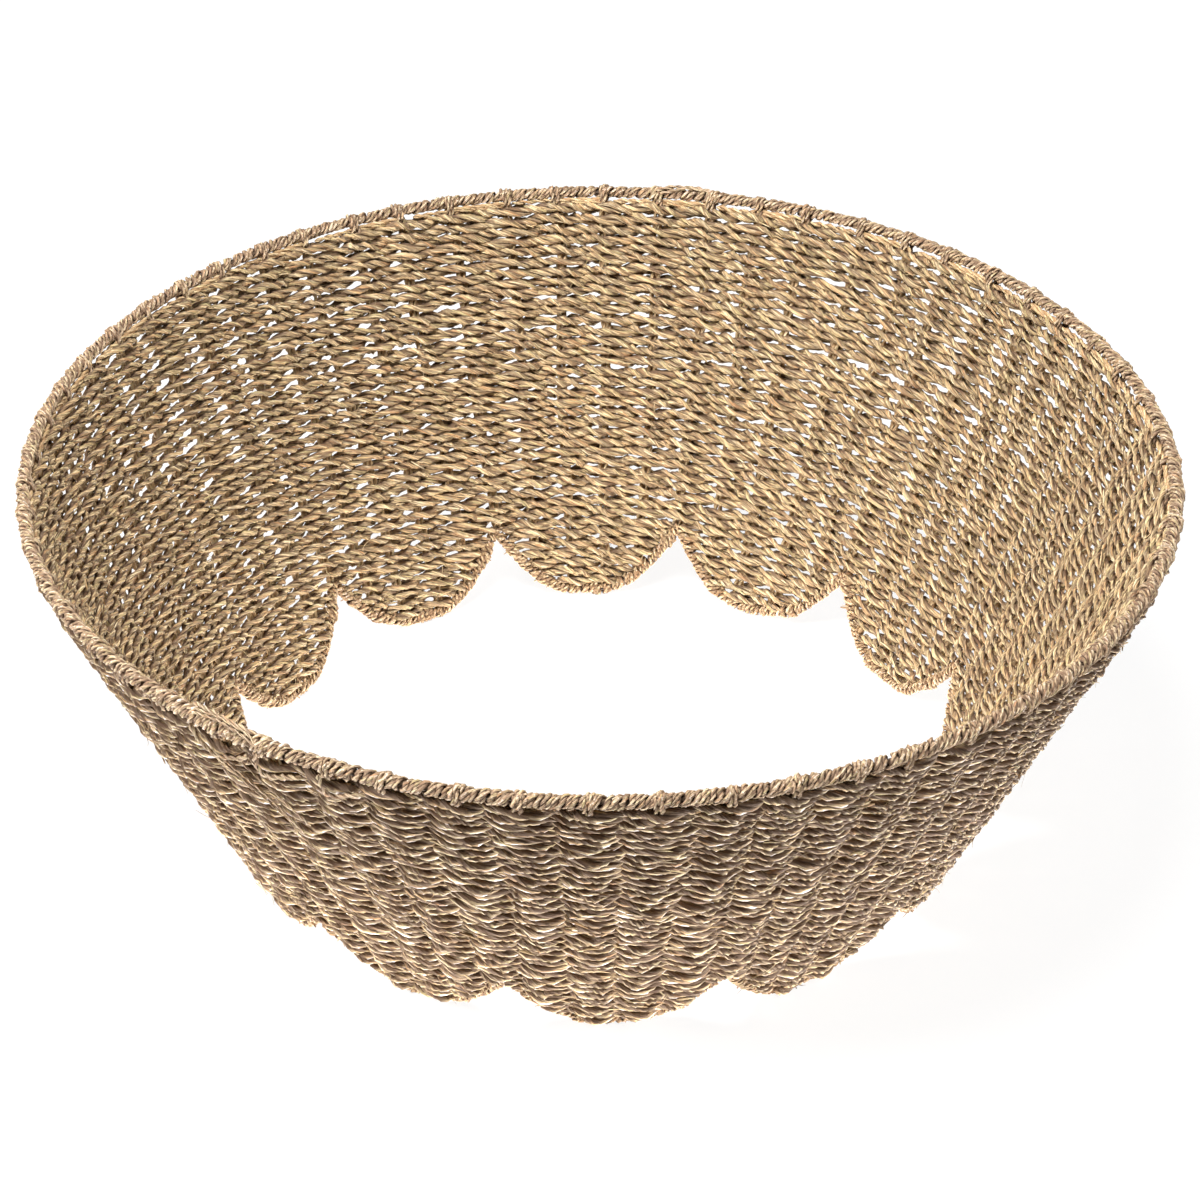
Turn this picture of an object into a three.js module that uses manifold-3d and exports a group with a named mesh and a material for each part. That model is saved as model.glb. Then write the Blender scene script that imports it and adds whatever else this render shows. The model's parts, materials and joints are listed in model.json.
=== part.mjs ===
// Woven seagrass tree collar: a flared wall of twined cord on upright warp cords, carried by a
// wrapped wire rim and closed below by a wrapped wire that is bent into round lobes.
// Millimetres, +Z up. The origin is on the floor, under the middle of the collar.

import * as THREE from "three";
import { mergeVertices } from "three/addons/utils/BufferGeometryUtils.js";
import Module from "manifold-3d";

const wasm = await Module();
wasm.setup();

// Overall sizes
const RIM_DIAMETER = 677; // outside of the wrapped rim
const FOOT_DIAMETER = 446; // outside, across opposite lobe tips
const HEIGHT = 248; // floor to the top of the rim

// Lobes of the lower edge
const LOBES = 12;
const LOBE_HEIGHT = 42; // rise of the edge wire from a lobe's tip to the cusp beside it
const LOBE_ROUNDNESS = 2.5; // exponent of the lobe's outline: 2 is a parabola, more is fuller
const LOBE_SIDE_GAP = 2.5; // from a lobe's woven panel to the middle of the cusp

// Cords and wires: diameters, but a winding cord lies flattened, wider than it is deep
const RIM_WIRE = 3;
const RIM_CORD_WIDTH = 4.2;
const RIM_CORD_DEPTH = 2.7;
const EDGE_WIRE = 3;
const EDGE_CORD_WIDTH = 3.6;
const EDGE_CORD_DEPTH = 1.8;
const WARP_CORD = 4.5;
const WEFT_CORD = 4;

// Warp cords: each is folded at the rim and hangs down as two neighbouring stakes
const STAKES_PER_LOBE = 5;
const WARP_BEND = 3; // radius of each turn where a warp cord folds under the rim

// Windings: one helical ridge stands for several turns of the wrapping cord
const TURNS_PER_RIDGE = 5;
const RIDGE_DEPTH = 0.5;
const RIM_JOINT_ANGLE = THREE.MathUtils.degToRad(-132); // where the rim's winding starts and ends
const RIM_JOINT_GAP = 1.2;
const EDGE_SEAM = 0.4; // between two lobes' windings, where they meet in the cusp

// Fits
const CLEARANCE = 0.3;
const EDGE_CLEARANCE = 0.6; // between the edge winding and the weave above it
const FLOOR_CUT = 0.5; // depth of the flat on each lobe's tip

// Facets
const SIDES = 6; // of every cord and wire
const HOOP_STEPS = 60;
const EDGE_STEPS = 7; // along one lobe of the edge wire
const FLUTE_STEPS = [0, 0.5]; // across one stake interval of the woven wall: stake, crossing

// Sizes that follow
const FLAT = Math.cos(Math.PI / SIDES); // a section's flat side lies this share of its radius out
const RIM_WRAP_RADIUS = RIM_WIRE / 2 + RIM_CORD_DEPTH;
const EDGE_WRAP_RADIUS = EDGE_WIRE / 2 + EDGE_CORD_DEPTH;
const WARP_RADIUS = WARP_CORD / 2;
const RIM_RADIUS = RIM_DIAMETER / 2 - RIM_WRAP_RADIUS;
const RIM_Z = HEIGHT - RIM_WRAP_RADIUS * FLAT;
const TIP_RADIUS = FOOT_DIAMETER / 2 - EDGE_WRAP_RADIUS;
const TIP_Z = EDGE_WRAP_RADIUS * FLAT - FLOOR_CUT;
const FLARE = Math.atan2(RIM_RADIUS - TIP_RADIUS, RIM_Z - TIP_Z); // wall's lean from upright
const TIP_DOWN = Math.hypot(RIM_RADIUS - TIP_RADIUS, RIM_Z - TIP_Z); // rim to tip, along the wall
const LOBE_RISE = LOBE_HEIGHT / Math.cos(FLARE);
const BAY = (2 * Math.PI) / LOBES;
const STAKES = LOBES * STAKES_PER_LOBE;
const STAKE_STEP = (2 * Math.PI) / STAKES;
const FIRST_STAKE = BAY / 2; // the cusp after the lobe on +X

// Materials
const weftSeagrass = new THREE.MeshStandardMaterial({ color: 0xa98a5e, roughness: 0.85 });
const warpSeagrass = new THREE.MeshStandardMaterial({ color: 0x9a8257, roughness: 0.85 });
const rimSeagrass = new THREE.MeshStandardMaterial({ color: 0xb3945f, roughness: 0.8 });
const edgeSeagrass = new THREE.MeshStandardMaterial({ color: 0xb08a5c, roughness: 0.85 });
const steelWire = new THREE.MeshStandardMaterial({ color: 0x4a4a48, roughness: 0.5, metalness: 0.9 });

// A point of the wall's middle cone: angle round the axis, distance down the wall from the rim's
// middle, and distance out along the wall's normal.
function onCone(angle, down, out = 0) {
  const radius = RIM_RADIUS - down * Math.sin(FLARE) + out * Math.cos(FLARE);
  const z = RIM_Z - down * Math.cos(FLARE) - out * Math.sin(FLARE);
  return new THREE.Vector3(radius * Math.cos(angle), radius * Math.sin(angle), z);
}

function radiusAt(down) {
  return RIM_RADIUS - down * Math.sin(FLARE);
}

function roundTheAxis(angle) {
  return new THREE.Vector3(-Math.sin(angle), Math.cos(angle), 0);
}

function wallNormal(angle) {
  const level = Math.cos(FLARE);
  return new THREE.Vector3(level * Math.cos(angle), level * Math.sin(angle), -Math.sin(FLARE));
}

// Where the edge wire's middle line crosses the wall line at an angle of the lobe on +X.
function edgeDown(angle) {
  const across = Math.abs(angle) / (BAY / 2);
  return TIP_DOWN - LOBE_RISE * across ** LOBE_ROUNDNESS;
}

// One lobe of the edge wire's middle line, from cusp to cusp, for the lobe on +X.
class LobeEdge extends THREE.Curve {
  getPoint(t, target = new THREE.Vector3()) {
    const angle = (t - 0.5) * BAY;
    return target.copy(onCone(angle, edgeDown(angle)));
  }
}
const lobeEdge = new LobeEdge();
const lobeEdgePoints = lobeEdge.getSpacedPoints(240);

// The edge wire's steepness in the cusp, as a tangent, and how far a winding's slanted end reaches.
const cuspTangent = lobeEdge.getTangent(1);
const cuspCosine = cuspTangent.dot(roundTheAxis(BAY / 2));
const cuspSteepness = Math.sqrt(1 - cuspCosine ** 2) / cuspCosine;
const END_REACH = EDGE_WRAP_RADIUS * cuspSteepness + 1;

// Places along the wall, measured down from the rim's middle
const RUN_DOWN = RIM_WRAP_RADIUS + CLEARANCE + WARP_RADIUS * FLAT; // warp cord lying under the rim
const WALL_TOP = RUN_DOWN + WARP_BEND + CLEARANCE; // just under the folds
const CUSP_DOWN = TIP_DOWN - LOBE_RISE;
const WALL_BOTTOM = CUSP_DOWN - EDGE_WRAP_RADIUS / cuspCosine - EDGE_CLEARANCE;
const PANEL_TOP = WALL_BOTTOM + CLEARANCE;

// Half the woven wall's thickness: two cords and the stake at a stake, one cord at a crossing.
const STAKE_HALF = WARP_RADIUS + CLEARANCE + WEFT_CORD;
const CROSSING_HALF = WEFT_CORD / 2;
function weaveHalf(angle) {
  const phase = (2 * Math.PI * (angle - FIRST_STAKE)) / STAKE_STEP;
  return CROSSING_HALF + (STAKE_HALF - CROSSING_HALF) * (0.5 + 0.5 * Math.cos(phase));
}

// Where the wall line at an angle of the +X lobe comes within a gap of the edge wire's middle line.
function downToEdge(angle, gap) {
  let clear = WALL_BOTTOM;
  let near = edgeDown(angle);
  for (let i = 0; i < 24; i++) {
    const middle = (clear + near) / 2;
    const point = onCone(angle, middle);
    const reached = lobeEdgePoints.some((p) => p.distanceTo(point) < gap);
    if (reached) near = middle;
    else clear = middle;
  }
  return clear;
}

// Triangles between two rings of equal count, facing away from the rings' middle.
function band(triangles, first, second, inward = false) {
  first.forEach((a, k) => {
    const next = (k + 1) % first.length;
    const corners = [a, first[next], second[next], a, second[next], second[k]];
    triangles.push(...(inward ? corners.reverse() : corners));
  });
}

function geometryOf(triangles) {
  return new THREE.BufferGeometry().setFromPoints(triangles);
}

// A solid through rings that follow each other, closed by flat ends or joined into a loop.
function loft(rings, looped = false) {
  const triangles = [];
  rings.slice(1).forEach((ring, i) => band(triangles, rings[i], ring));
  const first = rings[0];
  const last = rings[rings.length - 1];
  if (looped) {
    band(triangles, last, first);
    return geometryOf(triangles);
  }
  for (let k = 1; k < first.length - 1; k++) {
    triangles.push(first[0], first[k + 1], first[k]);
    triangles.push(last[0], last[k], last[k + 1]);
  }
  return geometryOf(triangles);
}

// A tube with a bore: outer rings, bore rings and a flat ring at each end.
function sleeve(outer, bore) {
  const triangles = [];
  outer.slice(1).forEach((ring, i) => band(triangles, outer[i], ring));
  bore.slice(1).forEach((ring, i) => band(triangles, bore[i], ring, true));
  band(triangles, outer[0], bore[0], true);
  band(triangles, outer[outer.length - 1], bore[bore.length - 1]);
  return geometryOf(triangles);
}

// A section square to the tangent. The radius may change with the angle round the section.
function ringAt(middle, tangent, radiusOf, outward) {
  const first = outward.clone().addScaledVector(tangent, -outward.dot(tangent)).normalize();
  const second = new THREE.Vector3().crossVectors(tangent, first);
  return Array.from({ length: SIDES }, (_, k) => {
    const turn = (2 * Math.PI * k) / SIDES;
    const radius = radiusOf(turn);
    return middle
      .clone()
      .addScaledVector(first, radius * Math.cos(turn))
      .addScaledVector(second, radius * Math.sin(turn));
  });
}

// The same section slid along its tangent onto a plane, as the slanted end of a tube.
function slantedOnto(ring, tangent, planePoint, planeNormal) {
  const rate = tangent.dot(planeNormal);
  return ring.map((point) => {
    const short = planePoint.clone().sub(point).dot(planeNormal) / rate;
    return point.clone().addScaledVector(tangent, short);
  });
}

// The radius of a winding's helical ridge, at a number of ridges along and an angle round.
function windingRadius(radius, ridgesAlong, turn) {
  const phase = 2 * Math.PI * ridgesAlong - turn;
  return radius - RIDGE_DEPTH * (0.5 - 0.5 * Math.cos(phase));
}

function toSolid(geometry) {
  const merged = mergeVertices(geometry, 1e-3);
  const vertProperties = merged.attributes.position.array;
  const triVerts = new Uint32Array(merged.index.array);
  return new wasm.Manifold(new wasm.Mesh({ numProp: 3, vertProperties, triVerts }));
}

function fromSolid(solid) {
  const { vertProperties, triVerts } = solid.getMesh();
  const geometry = new THREE.BufferGeometry();
  geometry.setAttribute("position", new THREE.BufferAttribute(new Float32Array(vertProperties), 3));
  return geometry.setIndex(new THREE.BufferAttribute(new Uint32Array(triVerts), 1));
}

function cutBy(geometry, cutters) {
  return fromSolid(cutters.reduce((solid, cutter) => solid.subtract(toSolid(cutter)), toSolid(geometry)));
}

// Rim hoop: a plain ring of wire
function rimHoop() {
  return new THREE.TorusGeometry(RIM_RADIUS, RIM_WIRE / 2, SIDES, HOOP_STEPS)
    .deleteAttribute("normal")
    .deleteAttribute("uv")
    .translate(0, 0, RIM_Z);
}

// Rim winding: a sleeve round the hoop, open at the joint where the cord starts and ends
function rimWrap() {
  const halfGap = RIM_JOINT_GAP / 2 / RIM_RADIUS;
  const sweep = 2 * Math.PI - 2 * halfGap;
  const pitch = TURNS_PER_RIDGE * RIM_CORD_WIDTH;
  const ridges = Math.round((sweep * RIM_RADIUS) / pitch);
  const ring = (angle, radiusOf) =>
    ringAt(onCone(angle, 0), roundTheAxis(angle), radiusOf, onCone(angle, 0).setZ(0));
  const outer = Array.from({ length: 2 * ridges + 1 }, (_, i) =>
    ring(RIM_JOINT_ANGLE + halfGap + (sweep * i) / (2 * ridges), (turn) =>
      windingRadius(RIM_WRAP_RADIUS, i / 2, turn),
    ),
  );
  const bore = Array.from({ length: HOOP_STEPS + 1 }, (_, i) => {
    const angle = THREE.MathUtils.clamp((2 * Math.PI * i) / HOOP_STEPS, halfGap, sweep + halfGap);
    return ring(RIM_JOINT_ANGLE + angle, () => RIM_WIRE / 2 + CLEARANCE);
  });
  return sleeve(outer, bore);
}

// A square section of the edge at a share of the lobe's length, and its slanted section in a cusp.
function edgeRing(share, radiusOf) {
  const middle = lobeEdge.getPointAt(share);
  return ringAt(middle, lobeEdge.getTangentAt(share), radiusOf, middle.clone().setZ(0));
}

function cuspRing(end, radiusOf, seam) {
  const angle = (end - 0.5) * BAY;
  const plane = roundTheAxis(angle);
  const planePoint = lobeEdge.getPoint(end).addScaledVector(plane, (end ? -1 : 1) * (seam / 2));
  return slantedOnto(edgeRing(end, radiusOf), lobeEdge.getTangent(end), planePoint, plane);
}

function edgeShares(steps) {
  const end = END_REACH / lobeEdge.getLength();
  return Array.from({ length: steps + 1 }, (_, i) => end + ((1 - 2 * end) * i) / steps);
}

// Edge wire: one closed wire that runs round all the lobes
function edgeWire() {
  const radiusOf = () => EDGE_WIRE / 2;
  const lobeRings = [cuspRing(0, radiusOf, 0)];
  edgeShares(EDGE_STEPS).forEach((share) => lobeRings.push(edgeRing(share, radiusOf)));
  const axis = new THREE.Vector3(0, 0, 1);
  const rings = Array.from({ length: LOBES }, (_, lobe) =>
    lobeRings.map((ring) => ring.map((point) => point.clone().applyAxisAngle(axis, lobe * BAY))),
  );
  return loft(rings.flat(), true);
}

// Edge winding of one lobe: a sleeve round the wire, cut flat where the collar stands
function edgeWrap() {
  const length = lobeEdge.getLength() - 2 * END_REACH;
  const ridges = Math.round(length / (TURNS_PER_RIDGE * EDGE_CORD_WIDTH));
  const crest = () => EDGE_WRAP_RADIUS;
  const boreRadius = () => EDGE_WIRE / 2 + CLEARANCE;
  const outer = edgeShares(2 * ridges).map((share, i) =>
    edgeRing(share, (turn) => windingRadius(EDGE_WRAP_RADIUS, i / 2, turn)),
  );
  const bore = edgeShares(EDGE_STEPS).map((share) => edgeRing(share, boreRadius));
  const wrap = sleeve(
    [cuspRing(0, crest, EDGE_SEAM), ...outer, cuspRing(1, crest, EDGE_SEAM)],
    [cuspRing(0, boreRadius, EDGE_SEAM), ...bore, cuspRing(1, boreRadius, EDGE_SEAM)],
  );
  const floor = new THREE.BoxGeometry(RIM_DIAMETER, RIM_DIAMETER, HEIGHT)
    .deleteAttribute("normal")
    .deleteAttribute("uv")
    .translate(0, 0, -HEIGHT / 2);
  return cutBy(wrap, [floor]);
}

// The channel that a stake leaves in the weave
function stakeChannel(angle, top, bottom) {
  const up = onCone(angle, top).sub(onCone(angle, bottom)).normalize();
  const radiusOf = () => WARP_RADIUS + CLEARANCE;
  return loft([bottom, top].map((down) => ringAt(onCone(angle, down), up, radiusOf, wallNormal(angle))));
}

// A section of the woven wall at an angle, from one place along the wall to another
function weaveSection(angle, top, bottom) {
  const half = weaveHalf(angle);
  return [
    onCone(angle, top, half),
    onCone(angle, bottom, half),
    onCone(angle, bottom, -half),
    onCone(angle, top, -half),
  ];
}

const stakeAngles = Array.from({ length: STAKES }, (_, i) => FIRST_STAKE + i * STAKE_STEP);

// Main weave: a fluted ring, thick over each stake and thin at each crossing
function wallWeave() {
  const sections = stakeAngles.flatMap((stake) =>
    FLUTE_STEPS.map((step) => weaveSection(stake + step * STAKE_STEP, WALL_TOP, WALL_BOTTOM)),
  );
  const channels = stakeAngles.map((angle) =>
    stakeChannel(angle, WALL_TOP - WARP_CORD, WALL_BOTTOM + WARP_CORD),
  );
  return cutBy(loft(sections, true), channels);
}

// Woven panel of one lobe, from the main weave down to the edge winding, for the lobe on +X
function lobeWeave() {
  const end = BAY / 2 - LOBE_SIDE_GAP / radiusAt(WALL_BOTTOM);
  const stakes = Array.from({ length: STAKES_PER_LOBE - 1 }, (_, i) => -BAY / 2 + (i + 1) * STAKE_STEP);
  const flutes = [-BAY / 2, ...stakes].flatMap((stake) => FLUTE_STEPS.map((step) => stake + step * STAKE_STEP));
  const angles = [-end, ...flutes.filter((angle) => Math.abs(angle) < end), end];
  const gap = EDGE_WRAP_RADIUS + EDGE_CLEARANCE;
  const sections = angles.map((angle) => weaveSection(angle, PANEL_TOP, downToEdge(angle, gap)));
  const channels = stakes.map((angle) => stakeChannel(angle, PANEL_TOP - WARP_CORD, TIP_DOWN));
  return cutBy(loft(sections), channels);
}

// The lower end of a stake, just above the edge winding, or flush with the main weave in a cusp
function stakeEnd(angle) {
  const lobe = Math.round(angle / BAY);
  const across = angle - lobe * BAY;
  if (Math.abs(across) > BAY / 2 - STAKE_STEP / 2) return WALL_BOTTOM;
  const side = WARP_RADIUS / radiusAt(TIP_DOWN);
  const gap = EDGE_WRAP_RADIUS + EDGE_CLEARANCE;
  return Math.min(downToEdge(across - side, gap), downToEdge(across + side, gap));
}

// Warp cord: up one stake, under the rim, and down the next stake
function warpCord(left, right) {
  const corner = 1 - Math.SQRT1_2;
  const bend = WARP_BEND / radiusAt(RUN_DOWN);
  const leg = (angle, side) => [
    [angle, stakeEnd(angle)],
    [angle, RUN_DOWN + WARP_BEND],
    [angle + side * bend * corner, RUN_DOWN + WARP_BEND * corner],
    [angle + side * bend, RUN_DOWN],
  ];
  const places = [...leg(left, 1), ...leg(right, -1).reverse()];
  const points = places.map(([angle, down]) => onCone(angle, down));
  const rings = points.map((point, i) => {
    const before = points[Math.max(i - 1, 0)];
    const after = points[Math.min(i + 1, points.length - 1)];
    const arriving = point.clone().sub(before).normalize();
    const leaving = after.clone().sub(point).normalize();
    const tangent = arriving.clone().add(leaving).normalize();
    return ringAt(point, tangent, () => WARP_RADIUS, wallNormal(places[i][0]));
  });
  return loft(rings);
}

const collar = new THREE.Group();

function addPiece(name, geometry, material) {
  const piece = new THREE.Mesh(geometry, material);
  piece.name = name;
  collar.add(piece);
  return piece;
}

function numbered(name, index) {
  return name + "_" + String(index + 1).padStart(2, "0");
}

addPiece("rim_hoop", rimHoop(), steelWire);
addPiece("rim_wrap", rimWrap(), rimSeagrass);
addPiece("wall_weave", wallWeave(), weftSeagrass);
addPiece("edge_wire", edgeWire(), steelWire);

for (let i = 0; i < STAKES; i += 2) {
  const cord = warpCord(stakeAngles[i], stakeAngles[i] + STAKE_STEP);
  addPiece(numbered("warp_cord", i / 2), cord, warpSeagrass);
}

const panelGeometry = lobeWeave();
const wrapGeometry = edgeWrap();
for (let lobe = 0; lobe < LOBES; lobe++) {
  addPiece(numbered("lobe_weave", lobe), panelGeometry, weftSeagrass).rotation.z = lobe * BAY;
  addPiece(numbered("edge_wrap", lobe), wrapGeometry, edgeSeagrass).rotation.z = lobe * BAY;
}

export default collar;
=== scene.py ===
# Woven seagrass tree collar: two-ply cords twined round doubled stakes, a cord-wound rim and a
# cord-wound scalloped edge. Sizes below are in millimetres; the meshes are written in metres.
import json
import math
from collections import namedtuple

import bpy
import numpy as np
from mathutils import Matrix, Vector

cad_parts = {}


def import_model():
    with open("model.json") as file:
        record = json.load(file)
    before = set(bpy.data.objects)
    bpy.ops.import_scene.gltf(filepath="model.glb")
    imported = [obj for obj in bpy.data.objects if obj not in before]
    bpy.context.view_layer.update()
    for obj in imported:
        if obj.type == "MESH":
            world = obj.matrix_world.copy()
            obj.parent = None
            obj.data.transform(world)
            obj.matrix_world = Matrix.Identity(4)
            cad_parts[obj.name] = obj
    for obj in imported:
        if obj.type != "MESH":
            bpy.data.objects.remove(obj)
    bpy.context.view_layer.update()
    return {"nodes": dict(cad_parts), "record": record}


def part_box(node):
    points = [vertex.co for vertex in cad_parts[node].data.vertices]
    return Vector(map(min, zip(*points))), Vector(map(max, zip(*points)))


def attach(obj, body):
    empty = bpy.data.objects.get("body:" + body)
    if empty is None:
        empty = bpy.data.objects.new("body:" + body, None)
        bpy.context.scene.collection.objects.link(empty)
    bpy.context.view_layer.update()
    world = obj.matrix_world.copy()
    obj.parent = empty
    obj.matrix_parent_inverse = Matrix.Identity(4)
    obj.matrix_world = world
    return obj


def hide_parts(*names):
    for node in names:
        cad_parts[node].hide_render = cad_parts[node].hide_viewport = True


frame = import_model()
bpy.ops.object.select_all(action="DESELECT")

MM = 0.001

# Wires and windings
WIRE = 3.0
RIM_WRAP = 8.4  # outside of the wound rim
RIM_TURN = 3.0  # along the rim, from one turn to the next
RIM_STARTS = 3  # cords wound side by side
RIM_PLY_PITCH = 11.0  # hard-twisted cord: length in which its plies go once round each other
RIM_LUMPS = 0.14  # how lumpy the rim's winding is
RIM_LAP = 0.025  # radians by which it laps over its start
EDGE_WRAP = 7.4
EDGE_TURN = 2.9
EDGE_PLY_PITCH = 9.0
EDGE_LUMPS = 0.45
EDGE_REACH = 3.6  # how far some turns of the edge's winding reach over the last course
SPLICE_ANGLE = math.radians(-128)  # where the rim's cord starts and ends

# Lobes of the lower edge
LOBES = 12
LOBE_HEIGHT = 42.0
LOBE_ROUNDNESS = 2.5

# Stakes: each is two cords side by side
STAKES_PER_LOBE = 5
STAKE_CORD = 3.6
STAKE_PLY_PITCH = 20.0
STAKE_SPREAD = 1.6  # from the stake's middle to the middle of each of its cords
STAKE_FOLD = 3.0  # radius of the fold under the rim
STAKE_UNEVEN = 0.55  # degrees by which a stake may stand off its even place
STAKE_LEAN = 1.0  # how far stakes lean to and fro on their way down
LASHING = 3.2  # cord that ties each stake to the rim
TUCKED_END = 3.4  # cut end of a stake laid along under the rim
END_PLY_PITCH = 15.0

# Twined courses: two strands that change sides at every stake
FIRST_COURSE = 11.6
COURSE_STEP = 6.75
FULL_COURSES = 31
BAND_COURSES = 4  # courses to a piece of the wall
LOBE_COURSES = 7
STRAND = 5.7  # mean diameter of a strand
STRAND_OUT = 4.1  # from the wall's middle to a strand as it passes a stake
STRAND_CROSS = 1.35  # above or below the course's line where the two strands cross
PLY_PITCH = 21.0  # length in which a strand's plies go once round each other, at the left and right
FRONT_SLACK = 0.6  # share by which that length is greater at the front
BACK_SLACK = 0.3  # and at the back
PLY_REACH = 0.545  # from a strand's middle to the outside of a ply, as a share of its width
OPEN_TWIST = 0.245  # from a strand's middle to the middle of a ply, likewise
FRONT_CLOSER = 0.045  # how much less that is at the front
RING_STEP = 3.0  # between rings of points along a strand
INSIDE_SHADE = 0.75  # how strong the painted shade in the inner face's grooves is
CREST_DIP = math.radians(38)  # how far below a strand's outermost line its painted highlight lies
FIRST_SAG = 0.4  # how far the first course hangs between two lashings
FIRST_LIFT = 2.4  # how far it is pulled up to the rim
# Where it hangs lower under the rim's splice: degrees from the splice, mm and degrees wide
SPLICE_SAGS = ((-0.75, 7.0, 1.8), (5.25, 5.0, 1.5), (12.0, 4.5, 1.6))
LOOSE_SIDES = 0.27  # strands are this share thinner at the left and right than at the front and back

# Loose blades, fibres and ends, how many of each
BLADES_OUTSIDE = 1000
BLADES_INSIDE = 3000
FIBRES = 900
FRAYED_ENDS = 1300

# Splices of the rim's cord. A loose strand is its width, then degrees along, mm down and mm out for each
# place on its way. A fat turn is degrees along.
FAT_TURN = 4.1  # width of a fat turn's cord
LOOSE_PLY_PITCH = 13.0
SPLICE_RINGS = 30  # rings of points in each strand and turn
FRONT_STRANDS = (
    (2.6, (-4, -4, -4.4), (-1.5, -6.6, -3.4), (1.5, -6.6, -2.4), (3.6, -5, -2), (4.8, 0.5, -4.6)),
    (1.7, (-3.4, -5.5, -1), (0, -7.2, -2), (3, -6, -0.6), (4.6, -2, 3.4)),
    (1.5, (-3, -6, 1), (0, -6.8, -0.4), (3, -5.2, 1.6), (5, 0, 5.2)),
    (3.0, (-3.6, 1, 5), (-3, 11, 7.4), (-2.1, 20.5, 7.6), (-0.6, 20, 7.2), (1.6, 14.5, 6.6), (3, 8, 5.6)),
    (3.2, (4.2, 0, 5.2), (3.8, 10, 7.2), (4, 19, 7.4), (5.2, 19.4, 7), (6.8, 14.5, 6.6), (8.6, 10.5, 6)),
    (3.0, (10.6, 1, 5), (10.6, 10, 7), (10.9, 17.6, 7.2), (12, 17.8, 7), (13.6, 12.5, 6.4), (15, 9.4, 5.6)),
    (1.5, (-1.8, 13, 7.6), (0.6, 30, 7.8), (3, 50, 7.6), (4.2, 70, 7.4), (4.6, 84, 6)),
    (1.3, (-2.4, 16, 7.6), (0, 34, 7.8), (2.2, 54, 7.6), (3.4, 66, 7.4), (4, 76, 6)),
    (1.4, (1.4, 12, 7.2), (3, 26, 7.8), (4.8, 44, 7.8), (5.8, 60, 7.2), (6.2, 70, 6)),
)
FRONT_TURNS = (-6.0, -5.1, -4.2, -3.3, -2.4, -1.5, -0.6, 0.3, 1.2, 2.1, 3.0, 3.9, 4.8, 5.7, 6.6)
BACK_STRANDS = (
    (2.6, (-2.5, -3, 2), (0, -5.2, 0), (2.5, -5, -2), (4.5, -2, -4.4)),
    (1.8, (-2, -4, -2), (1, -4.6, -3.4), (4, 0, -5.4)),
)
BACK_TURNS = (-2.6, -2.0, 4.6)
Splice = namedtuple("Splice", "middle strands turns")
SPLICES = (
    Splice(SPLICE_ANGLE, FRONT_STRANDS, FRONT_TURNS),
    Splice(math.radians(77), BACK_STRANDS, BACK_TURNS),
)

# Places taken from the frame
STAKES = LOBES * STAKES_PER_LOBE
BAY = 2 * math.pi / LOBES
FLAT = math.cos(math.pi / 6)
hoop_low, hoop_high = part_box("rim_hoop")
wire_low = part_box("edge_wire")[0]
RIM_RADIUS = hoop_high.x / MM - WIRE / 2
RIM_Z = (hoop_low.z + hoop_high.z) / 2 / MM
TIP_RADIUS = frame["record"]["mounts"][0]["pos_m"][0] / MM
TIP_Z = wire_low.z / MM + WIRE / 2 * FLAT
FLARE = math.atan2(RIM_RADIUS - TIP_RADIUS, RIM_Z - TIP_Z)
TIP_DOWN = math.hypot(RIM_RADIUS - TIP_RADIUS, RIM_Z - TIP_Z)
LOBE_RISE = LOBE_HEIGHT / math.cos(FLARE)
RUN_DOWN = RIM_WRAP / 2 + 1.6  # the stakes' folds, just under the rim
RUN_IN = 2.0  # how far inside the wall's middle the folds lie

# A cord's rings of points, its own space (across, across, along) and how much painted shade each point
# takes; the lowest values take a painted highlight instead
Cord = namedtuple("Cord", "rings grain hollow")

# Sections of a cord: distance from its middle at even angles, and how much painted shade each point takes
Section = namedtuple("Section", "radii sunk")
PLY = Section((1.08, 0.96, 1.05, 0.97, 1.02, 0.93), (0.0, 0.1, 0.6, 1.0, 0.6, 0.1))
TWO_PLIES = Section(
    (1.22, 1.08, 0.66, 1.08, 1.22, 1.08, 0.66, 1.08),
    (0.15, 0.2, 0.9, 0.2, 0.15, 0.2, 0.9, 0.2),
)
BLADE = Section((0.25, 1.0, 0.25, 1.0), (0.15, 0.25, 0.6, 0.25))
HAIR = Section((1.0, 1.0, 1.0), (0.15, 0.15, 0.15))

# How a cord is wound round a wire: turns in all, its own depth and width, its plies' pitch, rings to a
# turn, how far some turns reach up, how lumpy it is, its size along the way, the share of a turn at which
# it starts and how many cords lie side by side
Winding = namedtuple("Winding", "total depth width pitch per_turn reach lumps size start starts")


def on_cone(angle, down, out=0.0):
    """Points of the wall: angle round the axis, distance down from the rim, distance out."""
    radius = RIM_RADIUS - down * math.sin(FLARE) + out * math.cos(FLARE)
    height = RIM_Z - down * math.cos(FLARE) - out * math.sin(FLARE)
    return np.stack(np.broadcast_arrays(radius * np.cos(angle), radius * np.sin(angle), height), -1)


def wall_normal(angle):
    level = math.cos(FLARE)
    sink = np.full_like(angle, -math.sin(FLARE))
    return np.stack([level * np.cos(angle), level * np.sin(angle), sink], -1)


def edge_down(angle):
    """Where the edge wire runs, at an angle from the middle of its lobe."""
    return TIP_DOWN - LOBE_RISE * np.abs(angle / (BAY / 2)) ** LOBE_ROUNDNESS


def edge_angle(down):
    """The angle from a lobe's middle at which the edge wire reaches a distance down the wall."""
    share = np.clip((TIP_DOWN - down) / LOBE_RISE, 0, 1)
    return BAY / 2 * share ** (1 / LOBE_ROUNDNESS)


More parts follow.
